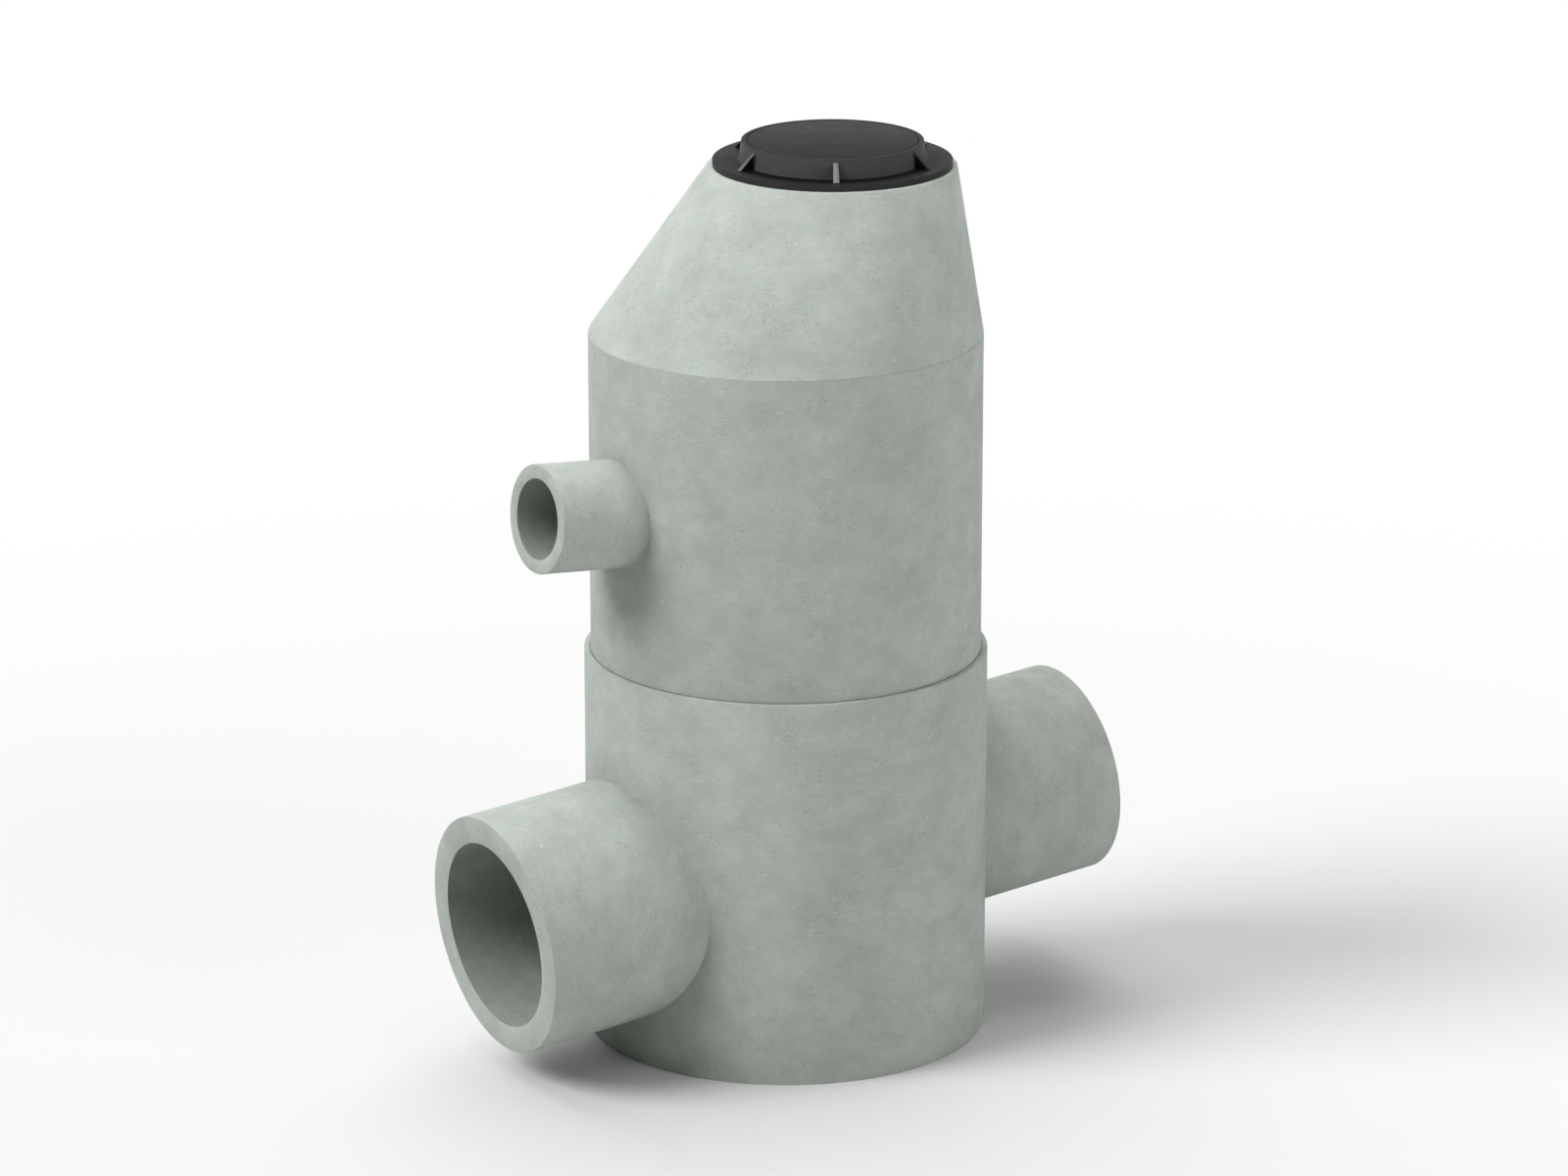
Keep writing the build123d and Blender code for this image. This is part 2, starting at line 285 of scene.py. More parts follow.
def faced(name, group, colours, bumpiness, relief, gloss, turn=(0, 0, 0), shift=(0, 0, 0)):
    """Material of one piece, with a face laid by the piece's own place, turned and shifted."""
    material = bpy.data.materials.new(name)
    material.use_nodes = True
    nodes, links = material.node_tree.nodes, material.node_tree.links
    shader = nodes["Principled BSDF"]
    where = nodes.new("ShaderNodeTexCoord")
    place = nodes.new("ShaderNodeMapping")
    place.inputs["Location"].default_value = shift
    place.inputs["Rotation"].default_value = turn
    face = nodes.new("ShaderNodeGroup")
    face.name = "face"
    face.node_tree = group
    for socket, colour in colours.items():
        face.inputs[socket].default_value = (*colour, 1)
    bump = nodes.new("ShaderNodeBump")
    bump.inputs["Strength"].default_value = bumpiness
    bump.inputs["Distance"].default_value = relief
    links.new(where.outputs["Object"], place.inputs["Vector"])
    links.new(place.outputs["Vector"], face.inputs["Place"])
    links.new(face.outputs["Colour"], shader.inputs["Base Color"])
    links.new(face.outputs["Roughness"], shader.inputs["Roughness"])
    links.new(face.outputs["Height"], bump.inputs["Height"])
    links.new(bump.outputs["Normal"], shader.inputs["Normal"])
    shader.inputs["Specular IOR Level"].default_value = gloss
    return material


def concrete(
    name, turn=(0, 0, 0), shift=(0, 0, 0),
    pale=(0.510, 0.536, 0.492), green=(0.478, 0.543, 0.492),
):
    """Concrete of one casting; turn and shift give it clouds and pits of its own."""
    return faced(
        name, concrete_face, {"Pale": pale, "Green": green},
        bumpiness=0.6, relief=0.0015, gloss=0.3, turn=turn, shift=shift,
    )


def painted_shade_near(material, near, far, share, place=(0, 0, 0), turn=(0, 0, 0), scale=(1, 1, 1)):
    """Paints shade into a concrete next to a joint or crease, darker towards the joint.

    The share of its colour that is left rises from near to far, which are distances from a
    place, or from a line through it when the scale takes out the distance along that line.
    """
    nodes, links = material.node_tree.nodes, material.node_tree.links
    shader = nodes["Principled BSDF"]
    line = nodes.new("ShaderNodeMapping")
    line.vector_type = "TEXTURE"
    line.inputs["Location"].default_value = place
    line.inputs["Rotation"].default_value = turn
    line.inputs["Scale"].default_value = scale
    distance = nodes.new("ShaderNodeVectorMath")
    distance.operation = "LENGTH"
    deepened = nodes.new("ShaderNodeVectorMath")
    deepened.operation = "SCALE"
    links.new(nodes["Texture Coordinate"].outputs["Object"], line.inputs["Vector"])
    links.new(line.outputs["Vector"], distance.inputs[0])
    fade = ranged(material.node_tree, distance.outputs["Value"], near, far, share, 1.0, True)
    links.new(nodes["face"].outputs["Colour"], deepened.inputs[0])
    links.new(fade, deepened.inputs["Scale"])
    links.new(deepened.outputs["Vector"], shader.inputs["Base Color"])


base_concrete = concrete("base concrete")
from_pipe_line = (1000, 1, 1)
from_shaft_line = (1, 1, 1000)
# painted shade on the base wall round the outlet pipe's joint
painted_shade_near(
    base_concrete, near=outlet_radius, far=outlet_radius + 0.17, share=0.86,
    place=(0, 0, pipe_height), turn=(0, -pipe_slope, 0), scale=from_pipe_line,
)
base = turned([
    (0, 0),
    (base_radius, 0),
    (base_radius, base_height),
    (tongue_radius, base_height),
    (tongue_radius, base_height + tongue_step),
    (tip_radius, base_height + tongue_step),
    (tip_radius, base_height + tongue_height),
    (shaft_radius, base_height + tongue_height),
    (shaft_radius, floor_thickness),
    (0, floor_thickness),
], closed=False)
round_over(base, hoops(base, [(base_radius, 0), (base_radius, base_height)]), arris)
base = as_object(base, "base_casting")
pipe_seat = 0.0005
hole_start = 0.30
hole_end = 1.2
cut_or_join(base, [
    rod("outlet hole", outlet_radius - pipe_seat, hole_start, hole_end, outlet_line),
    rod("inlet hole", inlet_radius - pipe_seat, hole_start, hole_end, inlet_line),
], "DIFFERENCE")
finished(base, base_concrete, ["base_unit"])

# the ledge is painted darker than the walls, as painted shade on its upward face, and darker still
# against the foot of the riser, as painted shade in that corner
riser_radius = 0.750
foot_shade_width = 0.012
shaded_ledge_concrete = concrete(
    "ledge concrete with painted shade", pale=(0.480, 0.505, 0.463), green=(0.450, 0.511, 0.463)
)
painted_shade_near(
    shaded_ledge_concrete, near=riser_radius, far=riser_radius + foot_shade_width, share=0.5,
    scale=from_shaft_line,
)
base.data.materials.append(shaded_ledge_concrete)
# the ledge's upward faces take the concrete with painted shade
for face in base.data.polygons:
    outside_tongue = hypot(face.center.x, face.center.y) > tongue_radius
    if outside_tongue and face.center.z > base_height - arris and face.normal.z > 0.3:
        face.material_index = 1


# Outlet and inlet: plain ends of concrete pipes, set into the base while it was cast and cut
# flush with the shaft's inner face. Both lie on one line that falls towards the outlet.
outlet_reach = 1.301
inlet_reach = 1.293
bore_arris = 0.0015
pipe_start = 0.28
shaft_low = 0.1
shaft_high = 2.6

# the bores are painted darker than the outsides, as painted shade inside the pipes
shaded_bore_concrete = concrete(
    "bore concrete with painted shade", turn=(0, radians(85), 0), shift=(5, 1, 0),
    pale=(0.320, 0.336, 0.308), green=(0.300, 0.341, 0.308),
)


def pipe_end(name, line, radius, bore, reach, material, node):
    """Straight pipe with edges rounded by rubbing down, its inner end cut to the curve of the
    shaft.
    """
    pipe = turned([
        (bore, pipe_start), (radius, pipe_start), (radius, reach), (bore, reach),
    ], steps=pipe_steps)
    round_over(pipe, hoops(pipe, [(radius, reach)]), arris)
    round_over(pipe, hoops(pipe, [(bore, reach)]), bore_arris, 2)
    bmesh.ops.transform(pipe, matrix=line, verts=pipe.verts)
    pipe = as_object(pipe, name)
    shaft_room = rod("shaft room", shaft_radius, shaft_low, shaft_high, steps=shaft_steps)
    cut_or_join(pipe, [shaft_room], "DIFFERENCE")
    finished(pipe, material, [node])
    # the bore's faces take the concrete with painted shade
    pipe.data.materials.append(shaded_bore_concrete)
    into_pipe = line.inverted()
    for face in pipe.data.polygons:
        middle = into_pipe @ face.center
        if hypot(middle.x, middle.y) < bore + bore_arris / 3:
            face.material_index = 1


outlet_concrete = concrete("outlet concrete", turn=(0, radians(85), 0), shift=(3, 0, 0))
inlet_concrete = concrete("inlet concrete", turn=(0, radians(85), 0), shift=(7, 2, 0))
# painted shade along the pipes next to the base wall
for pipe_concrete in (outlet_concrete, inlet_concrete):
    painted_shade_near(
        pipe_concrete, near=base_radius, far=base_radius + 0.20, share=0.83,
        scale=from_shaft_line,
    )
pipe_end(
    "outlet_pipe_end", outlet_line, outlet_radius, outlet_bore, outlet_reach,
    outlet_concrete, "outlet_pipe",
)
pipe_end(
    "inlet_pipe_end", inlet_line, inlet_radius, inlet_bore, inlet_reach,
    inlet_concrete, "inlet_pipe",
)


# Benching: concrete poured round the channel after the pipes are in, floated by hand. It stays
# as the model has it.
benching_concrete = concrete(
    "benching concrete", shift=(1, 5, 3), pale=(0.46, 0.49, 0.455), green=(0.43, 0.475, 0.43)
)
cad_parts["benching"].material_slots[0].material = benching_concrete


# Riser ring: a straight pipe of the shaft's own bore that stands on the base's ledge, with a
# tongue on top and a small pipe end cast into it.
riser_bottom = base_height
cone_bottom = 2.760
socket_radius = 0.654
joint_depth = 0.056
side_slope = radians(4.9)
side_height = 2.0875
side_radius = 0.2065
side_bore = 0.153
side_reach = 1.0925
side_hole_start = 0.4
side_hole_end = 1.0
side_steps = 128

riser_concrete = concrete("riser concrete", turn=(0, 0, 1.0), shift=(0, 0, 11))
# painted shade on the riser round the side pipe's joint
side_joint = (-riser_radius, 0, side_height + riser_radius * sin(side_slope))
painted_shade_near(
    riser_concrete, near=side_radius, far=side_radius + 0.08, share=0.88, place=side_joint
)
riser = turned([
    (socket_radius, riser_bottom),
    (riser_radius, riser_bottom),
    (riser_radius, cone_bottom),
    (tongue_radius, cone_bottom),
    (tongue_radius, cone_bottom + tongue_step),
    (tip_radius, cone_bottom + tongue_step),
    (tip_radius, cone_bottom + tongue_height),
    (shaft_radius, cone_bottom + tongue_height),
    (shaft_radius, riser_bottom + joint_depth),
    (socket_radius, riser_bottom + joint_depth),
])
round_over(riser, hoops(riser, [(riser_radius, riser_bottom), (riser_radius, cone_bottom)]), arris)
riser = as_object(riser, "riser_casting")
side_line = along_pipe(side_height, side_slope, -1)
side_hole = rod(
    "side hole", side_radius - pipe_seat, side_hole_start, side_hole_end, side_line, side_steps
)
cut_or_join(riser, [side_hole], "DIFFERENCE")
finished(riser, riser_concrete, ["riser_ring"])
side_concrete = concrete("side inlet concrete", turn=(0, radians(95), 0), shift=(4, 4, 0))
# painted shade along the side pipe next to the riser
painted_shade_near(
    side_concrete, near=riser_radius, far=riser_radius + 0.10, share=0.86,
    scale=from_shaft_line,
)
pipe_end(
    "side_pipe_end", side_line, side_radius, side_bore, side_reach,
    side_concrete, "side_inlet_pipe",
)


# Cone: leans over from the shaft's bore to the opening below the cover, steep on one side and
# nearly upright over the steps. Cast in a steel mould like the other rings.
cone_top = 3.380
cone_shift = 0.207
cone_top_radius = 0.4725
throat_radius = 0.3125
neck_height = 0.060
cone_steps = 256

# the cone's concrete is painted paler than the other castings: painted light on its upward slope
lit_cone_concrete = concrete(
    "cone concrete with painted light", turn=(0, 0, 2.2), shift=(2, 9, 5),
    pale=(0.530, 0.557, 0.512), green=(0.497, 0.565, 0.512),
)
rings = [
    (riser_radius, cone_bottom, 0),
    (cone_top_radius, cone_top, cone_shift),
    (throat_radius, cone_top, cone_shift),
    (throat_radius, cone_top - neck_height, cone_shift),
    (shaft_radius, cone_bottom + joint_depth, 0),
    (socket_radius, cone_bottom + joint_depth, 0),
    (socket_radius, cone_bottom, 0),
    (riser_radius, cone_bottom, 0),
]
cone = bmesh.new()
first = bmesh.ops.create_circle(
    cone, cap_ends=False, segments=cone_steps, radius=riser_radius,
    matrix=Matrix.Translation((0, 0, cone_bottom)),
)
edges = list({edge for vert in first["verts"] for edge in vert.link_edges})
for (radius, height, x), (next_radius, next_height, next_x) in zip(rings, rings[1:]):
    grown = bmesh.ops.extrude_edge_only(cone, edges=edges)["geom"]
    edges = [part for part in grown if isinstance(part, bmesh.types.BMEdge)]
    verts = [part for part in grown if isinstance(part, bmesh.types.BMVert)]
    ratio = next_radius / radius
    bmesh.ops.scale(
        cone, verts=verts, vec=(ratio, ratio, 1), space=Matrix.Translation((-x, 0, -height))
    )
    bmesh.ops.translate(cone, verts=verts, vec=(next_x - x, 0, next_height - height))
bmesh.ops.remove_doubles(cone, verts=cone.verts, dist=1e-6)
bmesh.ops.recalc_face_normals(cone, faces=cone.faces)
round_over(cone, hoops(cone, [(riser_radius, cone_bottom)]), arris)
round_over(cone, hoops(cone, [(cone_top_radius, cone_top)], cone_shift), arris)
cone = as_object(cone, "cone_casting")
finished(cone, lit_cone_concrete, ["cone"])


# Joint seals and seat ring: sliding rubber rings on the tongues, squeezed when the next ring is
# set down, and the ring that the cover lies on. Only their inner lips could be seen, from inside
# the shaft. They stay as the model has them.
rubber_rings = ("base_joint_seal", "riser_joint_seal", "cover_seat_ring")


def mottled(name, scale, detail, dark, light, roughness):
    """Moulded rubber or plastic whose colour drifts between two tones."""
    material = bpy.data.materials.new(name)
    material.use_nodes = True
    nodes, links = material.node_tree.nodes, material.node_tree.links
    shader = nodes["Principled BSDF"]
    shader.inputs["Roughness"].default_value = roughness
    place = nodes.new("ShaderNodeTexCoord")
    drift = nodes.new("ShaderNodeTexNoise")
    drift.name = "drift"
    drift.inputs["Scale"].default_value = scale
    drift.inputs["Detail"].default_value = detail
    colour = nodes.new("ShaderNodeMix")
    colour.data_type = "RGBA"
    colour.inputs["A"].default_value = (*dark, 1)
    colour.inputs["B"].default_value = (*light, 1)
    links.new(place.outputs["Object"], drift.inputs["Vector"])
    links.new(drift.outputs["Fac"], colour.inputs["Factor"])
    links.new(colour.outputs["Result"], shader.inputs["Base Color"])
    return material


rubber = mottled(
    "seal rubber", scale=40, detail=4,
    dark=(0.012, 0.012, 0.012), light=(0.030, 0.030, 0.029), roughness=0.75,
)
for ring in rubber_rings:
    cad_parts[ring].material_slots[0].material = rubber


# Cover frame: one iron casting, bedded on the cone. A flange, a tapered collar round the
# cover's pocket and six gussets, black coated.
frame_top = 3.476
flange_top = 3.403
flange_radius = 0.455
skirt_radius = 0.335
collar_foot = 0.355
collar_top = 0.3455
pocket_radius = 0.327
opening_radius = 0.300
ledge_height = 3.431
ledge_thickness = 0.014
frame_edge = 0.002
pocket_edge = 0.001
foot_fillet = 0.005
gusset_count = 6
gusset_reach = 0.059
gusset_high = frame_top - 0.0105
gusset_toe = 0.0015
gusset_sunk = 0.010
gusset_root = 0.340
gusset_foot_width = 0.025
gusset_top_width = 0.021
gusset_edge = 0.0012
gusset_slope_normal = 0.74
gusset_slope_least = 0.05


def iron_coating_group():
    """Colour, roughness and relief of sand-cast iron under a black dip coating."""
    group, inside, outside = face_group("coated casting", ("Tone",))
    nodes, links = group.nodes, group.links
    cloud = nodes.new("ShaderNodeTexNoise")
    cloud.inputs["Scale"].default_value = 14
    cloud.inputs["Detail"].default_value = 4
    sand = nodes.new("ShaderNodeTexNoise")
    sand.inputs["Scale"].default_value = 420
    sand.inputs["Detail"].default_value = 2
    scaled = nodes.new("ShaderNodeVectorMath")
    scaled.operation = "SCALE"
    links.new(inside.outputs["Place"], cloud.inputs["Vector"])
    links.new(inside.outputs["Place"], sand.inputs["Vector"])
    shade = ranged(group, cloud.outputs["Fac"], 0.3, 0.7, 0.90, 1.10)
    rough = ranged(group, cloud.outputs["Fac"], 0.3, 0.7, 0.38, 0.46)
    links.new(inside.outputs["Tone"], scaled.inputs[0])
    links.new(shade, scaled.inputs["Scale"])
    links.new(scaled.outputs["Vector"], outside.inputs["Colour"])
    links.new(rough, outside.inputs["Roughness"])
    links.new(sand.outputs["Fac"], outside.inputs["Height"])
    return group


iron_coating = iron_coating_group()


def coated_iron(name, tone, relief):
    """Coated cast iron of one tone; relief is the depth of the sand's grain."""
    return faced(
        name, iron_coating, {"Tone": (tone, tone, tone)}, bumpiness=0.5, relief=relief, gloss=0.02
    )


def centred(material, scale=(1, 1, 1)):
    """Places on the casting, measured from the frame's own axis."""
    nodes, links = material.node_tree.nodes, material.node_tree.links
    place = nodes.new("ShaderNodeMapping")
    place.inputs["Location"].default_value = (-cone_shift * scale[0], 0, 0)
    place.inputs["Scale"].default_value = scale
    links.new(nodes["Texture Coordinate"].outputs["Object"], place.inputs["Vector"])
    return place.outputs["Vector"]


# the flange is painted darker than the collar, darkest in the corner round the collar's foot and
# lighter towards its rim: painted shade and a painted reflection of the collar. The machined top
# face is painted dark too, as painted shade on an upward face
frame_tone = 0.080
shaded_frame_iron = coated_iron("frame iron with painted shade", frame_tone, 0.0004)
iron = shaded_frame_iron.node_tree
from_axis = iron.nodes.new("ShaderNodeVectorMath")
from_axis.operation = "LENGTH"
iron.links.new(centred(shaded_frame_iron, (1, 1, 0)), from_axis.inputs[0])
reach = from_axis.outputs["Value"]
corner_shade = ranged(iron, reach, collar_foot - 0.0005, collar_foot + 0.004, 1.0, 0.08, True)
shade_fade_to_rim = ranged(iron, reach, collar_foot + 0.025, flange_radius - 0.015, 0.0, 0.13, True)
level = iron.nodes.new("ShaderNodeSeparateXYZ")
iron.links.new(iron.nodes["Texture Coordinate"].outputs["Object"], level.inputs["Vector"])
level_z = level.outputs["Z"]
above_rim = ranged(iron, level_z, flange_top - 0.0015, flange_top - 0.0003, 0, 1, True)
share = iron.nodes.new("ShaderNodeMix")
share.inputs["A"].default_value = 0.55
iron.links.new(above_rim, share.inputs["Factor"])
iron.links.new(reckoned(iron, "ADD", corner_shade, shade_fade_to_rim), share.inputs["B"])
# painted shade on the frame's top face
top_shade_tone = ranged(
    iron, level_z, frame_top - 0.0012, frame_top - 0.0004, frame_tone, 0.018, True
)
painted_shade_tone = reckoned(iron, "MULTIPLY", share.outputs["Result"], top_shade_tone)
iron.links.new(painted_shade_tone, iron.nodes["face"].inputs["Tone"])

# the gussets' slopes on the side facing 225 degrees are painted pale grey and partly metallic:
# a painted highlight
highlight_tone = 0.155
highlighted_iron = coated_iron("iron with painted highlight", highlight_tone, 0.0002)
highlight_nodes = highlighted_iron.node_tree
highlight_side = highlight_nodes.nodes.new("ShaderNodeVectorMath")
highlight_side.operation = "DOT_PRODUCT"
highlight_side.inputs[1].default_value = (cos(radians(225)), sin(radians(225)), 0)
highlight_nodes.links.new(centred(highlighted_iron), highlight_side.inputs[0])
towards_highlight = highlight_side.outputs["Value"]
highlight_ramp = ranged(highlight_nodes, towards_highlight, 0.16, 0.36, 0.038, highlight_tone, True)
highlight_metal = ranged(highlight_nodes, towards_highlight, 0.10, 0.36, 0, 0.6, True)
highlight_nodes.links.new(highlight_ramp, highlight_nodes.nodes["face"].inputs["Tone"])
highlight_nodes.links.new(highlight_metal, highlight_nodes.nodes["Principled BSDF"].inputs["Metallic"])

casting = turned([
    (skirt_radius, cone_top),
    (flange_radius, cone_top),
    (flange_radius, flange_top),
    (collar_foot, flange_top),
    (collar_top, frame_top),
    (pocket_radius, frame_top),
    (pocket_radius, ledge_height),
    (opening_radius, ledge_height),
    (opening_radius, ledge_height - ledge_thickness),
    (skirt_radius, ledge_height - ledge_thickness),
], cone_shift)
round_over(casting, hoops(casting, [(flange_radius, flange_top)], cone_shift), frame_edge)
round_over(casting, hoops(casting, [(collar_top, frame_top)], cone_shift), frame_edge)
round_over(casting, hoops(casting, [(pocket_radius, frame_top)], cone_shift), pocket_edge, 2)
round_over(casting, hoops(casting, [(collar_foot, flange_top)], cone_shift), foot_fillet, 4)
casting = as_object(casting, "frame_casting")


def repeated(shape, count):
    """Repeats a shape in a ring round the upright line at zero and moves all to the frame."""
    bmesh.ops.spin(
        shape, geom=shape.verts[:] + shape.edges[:] + shape.faces[:], cent=(0, 0, 0),
        axis=(0, 0, 1), angle=2 * pi * (count - 1) / count, steps=count - 1,
        use_duplicate=True,
    )
    bmesh.ops.translate(shape, verts=shape.verts, vec=(cone_shift, 0, 0))


# one gusset is drawn a metre wide, squeezed to its widths at foot and top and repeated
gusset_foot = collar_foot + gusset_reach
collar_lean = (collar_foot - collar_top) / (frame_top - flange_top)
gusset = bmesh.new()
side = gusset.faces.new([
    gusset.verts.new((radius, -0.5, height)) for radius, height in (
        (gusset_root, flange_top - gusset_sunk),
        (gusset_foot, flange_top - gusset_sunk),
        (gusset_foot, flange_top + gusset_toe),
        (collar_foot - collar_lean * (gusset_high - flange_top), gusset_high),
        (gusset_root, gusset_high),
    )
])
grown = bmesh.ops.extrude_face_region(gusset, geom=[side])["geom"]
bmesh.ops.translate(
    gusset, verts=[part for part in grown if isinstance(part, bmesh.types.BMVert)], vec=(0, 1, 0)
)
half_up = (flange_top + frame_top) / 2
feet = [vert for vert in gusset.verts if vert.co.z < half_up]
tops = [vert for vert in gusset.verts if vert.co.z > half_up]
bmesh.ops.scale(gusset, verts=feet, vec=(1, gusset_foot_width, 1))
bmesh.ops.scale(gusset, verts=tops, vec=(1, gusset_top_width, 1))
bmesh.ops.recalc_face_normals(gusset, faces=gusset.faces)
slope_edges = [
    edge for edge in gusset.edges
    if abs(edge.verts[0].co.x - edge.verts[1].co.x) > gusset_slope_least
    and abs(edge.verts[0].co.z - edge.verts[1].co.z) > gusset_slope_least
]
round_over(gusset, slope_edges, gusset_edge, 2)
repeated(gusset, gusset_count)
cut_or_join(casting, [as_object(gusset, "gussets")], "UNION")
finished(casting, shaded_frame_iron, ["cover_frame"])
casting.data.materials.append(highlighted_iron)
# the gusset slopes take the iron with the painted highlight
for face in casting.data.polygons:
    on_slope = abs(face.normal.z - gusset_slope_normal) < 0.03
    if on_slope and flange_top + foot_fillet + 0.001 < face.center.z < gusset_high:
        face.material_index = 1


# Cover disc: iron, plain on top, machined where it lies on its ring, stiffened below by a rim,
# a hub and six ribs. It lies loose in the frame.
cover_radius = 0.324
cover_bottom = 3.435
plate_bottom = frame_top - 0.016
rim_radius = 0.304
rib_bottom = cover_bottom + 0.006
into_plate = plate_bottom + 0.004
rib_count = 6
rib_start = 0.030
rib_end = rim_radius + 0.008
rib_thickness = 0.012
rib_edge = 0.002
rim_fillet = 0.004
cover_edge = 0.0015
hub_radius = 0.055
hub_bottom = rib_bottom - 0.001
hub_top = into_plate + 0.002
hub_steps = 64

cover_iron = coated_iron("cover iron", 0.013, 0.00025)
cover = turned([
    (0, plate_bottom),
    (rim_radius, plate_bottom),
    (rim_radius, cover_bottom),
    (cover_radius, cover_bottom),
    (cover_radius, frame_top),
    (0, frame_top),
], cone_shift, closed=False)
round_over(cover, hoops(cover, [(cover_radius, frame_top)], cone_shift), cover_edge)
round_over(cover, hoops(cover, [(rim_radius, plate_bottom)], cone_shift), rim_fillet, 3)
cover = as_object(cover, "cover_casting")
rib = bmesh.new()
bmesh.ops.create_cube(rib, size=1)
bmesh.ops.scale(
    rib, verts=rib.verts, vec=(rib_end - rib_start, rib_thickness, into_plate - rib_bottom)
)
bmesh.ops.translate(
    rib, verts=rib.verts, vec=((rib_start + rib_end) / 2, 0, (rib_bottom + into_plate) / 2)
)
bmesh.ops.rotate(
    rib, verts=rib.verts, cent=(0, 0, 0), matrix=Matrix.Rotation(pi / rib_count, 3, "Z")
)
bottom_edges = [
    edge for edge in rib.edges if all(vert.co.z < rib_bottom + 1e-5 for vert in edge.verts)
]
round_over(rib, bottom_edges, rib_edge, 2)
repeated(rib, rib_count)
hub_line = Matrix.Translation((cone_shift, 0, 0))
hub = rod("hub", hub_radius, hub_bottom, hub_top, hub_line, hub_steps)
cut_or_join(cover, [as_object(rib, "ribs")], "UNION")
cut_or_join(cover, [hub], "UNION")
finished(cover, cover_iron, ["cover_disc"])


# Step irons: steel bars bent to a U, coated in ribbed plastic, their ends grouted into holes in
# the wall. A lug at each end of the tread keeps a foot from slipping off.
step_heights = [1.3905, 1.6395, 1.8885, 2.1375, 2.3865, 2.6355, 2.8845, 3.1335]
bar_radius = 0.0125
step_half = 0.150
step_projection = 0.150
step_root = 0.090
bend_radius = 0.030
bar_steps = 20
bend_steps = 8
ridge_count = 12
ridge_pitch = 0.016
ridge_flank = 0.0015
ridge_ratio = 1.09
ridge_start = 0.024
lug_size = (0.018, 0.016, 0.0325)
lug_place = 0.112
lug_edge = 0.003
taper_start = cone_bottom + joint_depth
taper_height = cone_top - neck_height - taper_start

coating = mottled(
    "step coating", scale=90, detail=5,
    dark=(0.62, 0.17, 0.02), light=(0.74, 0.25, 0.05), roughness=0.45,
)
coating_nodes, coating_links = coating.node_tree.nodes, coating.node_tree.links
coating_bump = coating_nodes.new("ShaderNodeBump")
coating_bump.inputs["Strength"].default_value = 0.3
coating_bump.inputs["Distance"].default_value = 0.0004
coating_links.new(coating_nodes["drift"].outputs["Fac"], coating_bump.inputs["Height"])
coating_links.new(
    coating_bump.outputs["Normal"], coating_nodes["Principled BSDF"].inputs["Normal"]
)


def drawn_out(bar, end, way, ratio=1.0):
    """Runs the bar's open end on by a way, thicker or thinner by a ratio."""
    middle = sum((vert.co for edge in end for vert in edge.verts), Vector()) / (2 * len(end))
    grown = bmesh.ops.extrude_edge_only(bar, edges=end)["geom"]
    verts = [part for part in grown if isinstance(part, bmesh.types.BMVert)]
    bmesh.ops.scale(bar, verts=verts, vec=(ratio, 1, ratio), space=Matrix.Translation(-middle))
    bmesh.ops.translate(bar, verts=verts, vec=way)
    return [part for part in grown if isinstance(part, bmesh.types.BMEdge)]


def bent(bar, end, middle):
    """Bends the bar's open end through a right angle about an upright line."""
    grown = bmesh.ops.spin(
        bar, geom=end, cent=middle, axis=(0, 0, 1), angle=-pi / 2, steps=bend_steps
    )
    return [part for part in grown["geom_last"] if isinstance(part, bmesh.types.BMEdge)]


for number, height in enumerate(step_heights, start=1):
    share = min(max((height - taper_start) / taper_height, 0), 1)
    inner_radius = shaft_radius + share * (throat_radius - shaft_radius)
    wall = share * cone_shift + sqrt(inner_radius ** 2 - step_half ** 2)
    tread = wall - step_projection + bar_radius
    bar = bmesh.new()
    root = Matrix.Translation((wall + step_root, -step_half, height))
    bmesh.ops.create_circle(
        bar, cap_ends=True, segments=bar_steps, radius=bar_radius,
        matrix=root @ Matrix.Rotation(pi / 2, 4, "Y"),
    )
    end = list(bar.edges)
    end = drawn_out(bar, end, (tread + bend_radius - wall - step_root, 0, 0))
    end = bent(bar, end, (tread + bend_radius, bend_radius - step_half, height))
    end = drawn_out(bar, end, (0, ridge_start, 0))
    for ridge in range(ridge_count):
        end = drawn_out(bar, end, (0, ridge_flank, 0), 1 / ridge_ratio)
        end = drawn_out(bar, end, (0, ridge_pitch / 2 - ridge_flank, 0))
        end = drawn_out(bar, end, (0, ridge_flank, 0), ridge_ratio)
        end = drawn_out(bar, end, (0, ridge_pitch / 2 - ridge_flank, 0))
    end = drawn_out(bar, end, (0, ridge_start, 0))
    end = bent(bar, end, (tread + bend_radius, step_half - bend_radius, height))
    end = drawn_out(bar, end, (wall + step_root - tread - bend_radius, 0, 0))
    bmesh.ops.holes_fill(bar, edges=end, sides=0)
    bmesh.ops.remove_doubles(bar, verts=bar.verts, dist=1e-6)
    bmesh.ops.recalc_face_normals(bar, faces=bar.faces)
    step = as_object(bar, f"step_{number}")
    lugs = bmesh.new()
    for side in (-1, 1):
        lug = bmesh.ops.create_cube(lugs, size=1)["verts"]
        lug_middle = (tread, side * lug_place, height + lug_size[2] / 2)
        bmesh.ops.scale(lugs, verts=lug, vec=lug_size)
        bmesh.ops.translate(lugs, verts=lug, vec=lug_middle)
    round_over(lugs, lugs.edges[:], lug_edge, 2)
    cut_or_join(step, [as_object(lugs, "lugs")], "UNION")
    finished(step, coating, [f"step_iron_{number}"], 40)


# Floor: a plain pale studio floor. It keeps the shadow, goes over into the white behind it and
# throws back less light onto the object than the camera sees.
floor_radius = 60
floor_steps = 64
white_from = 2.0
white_at = 8.0


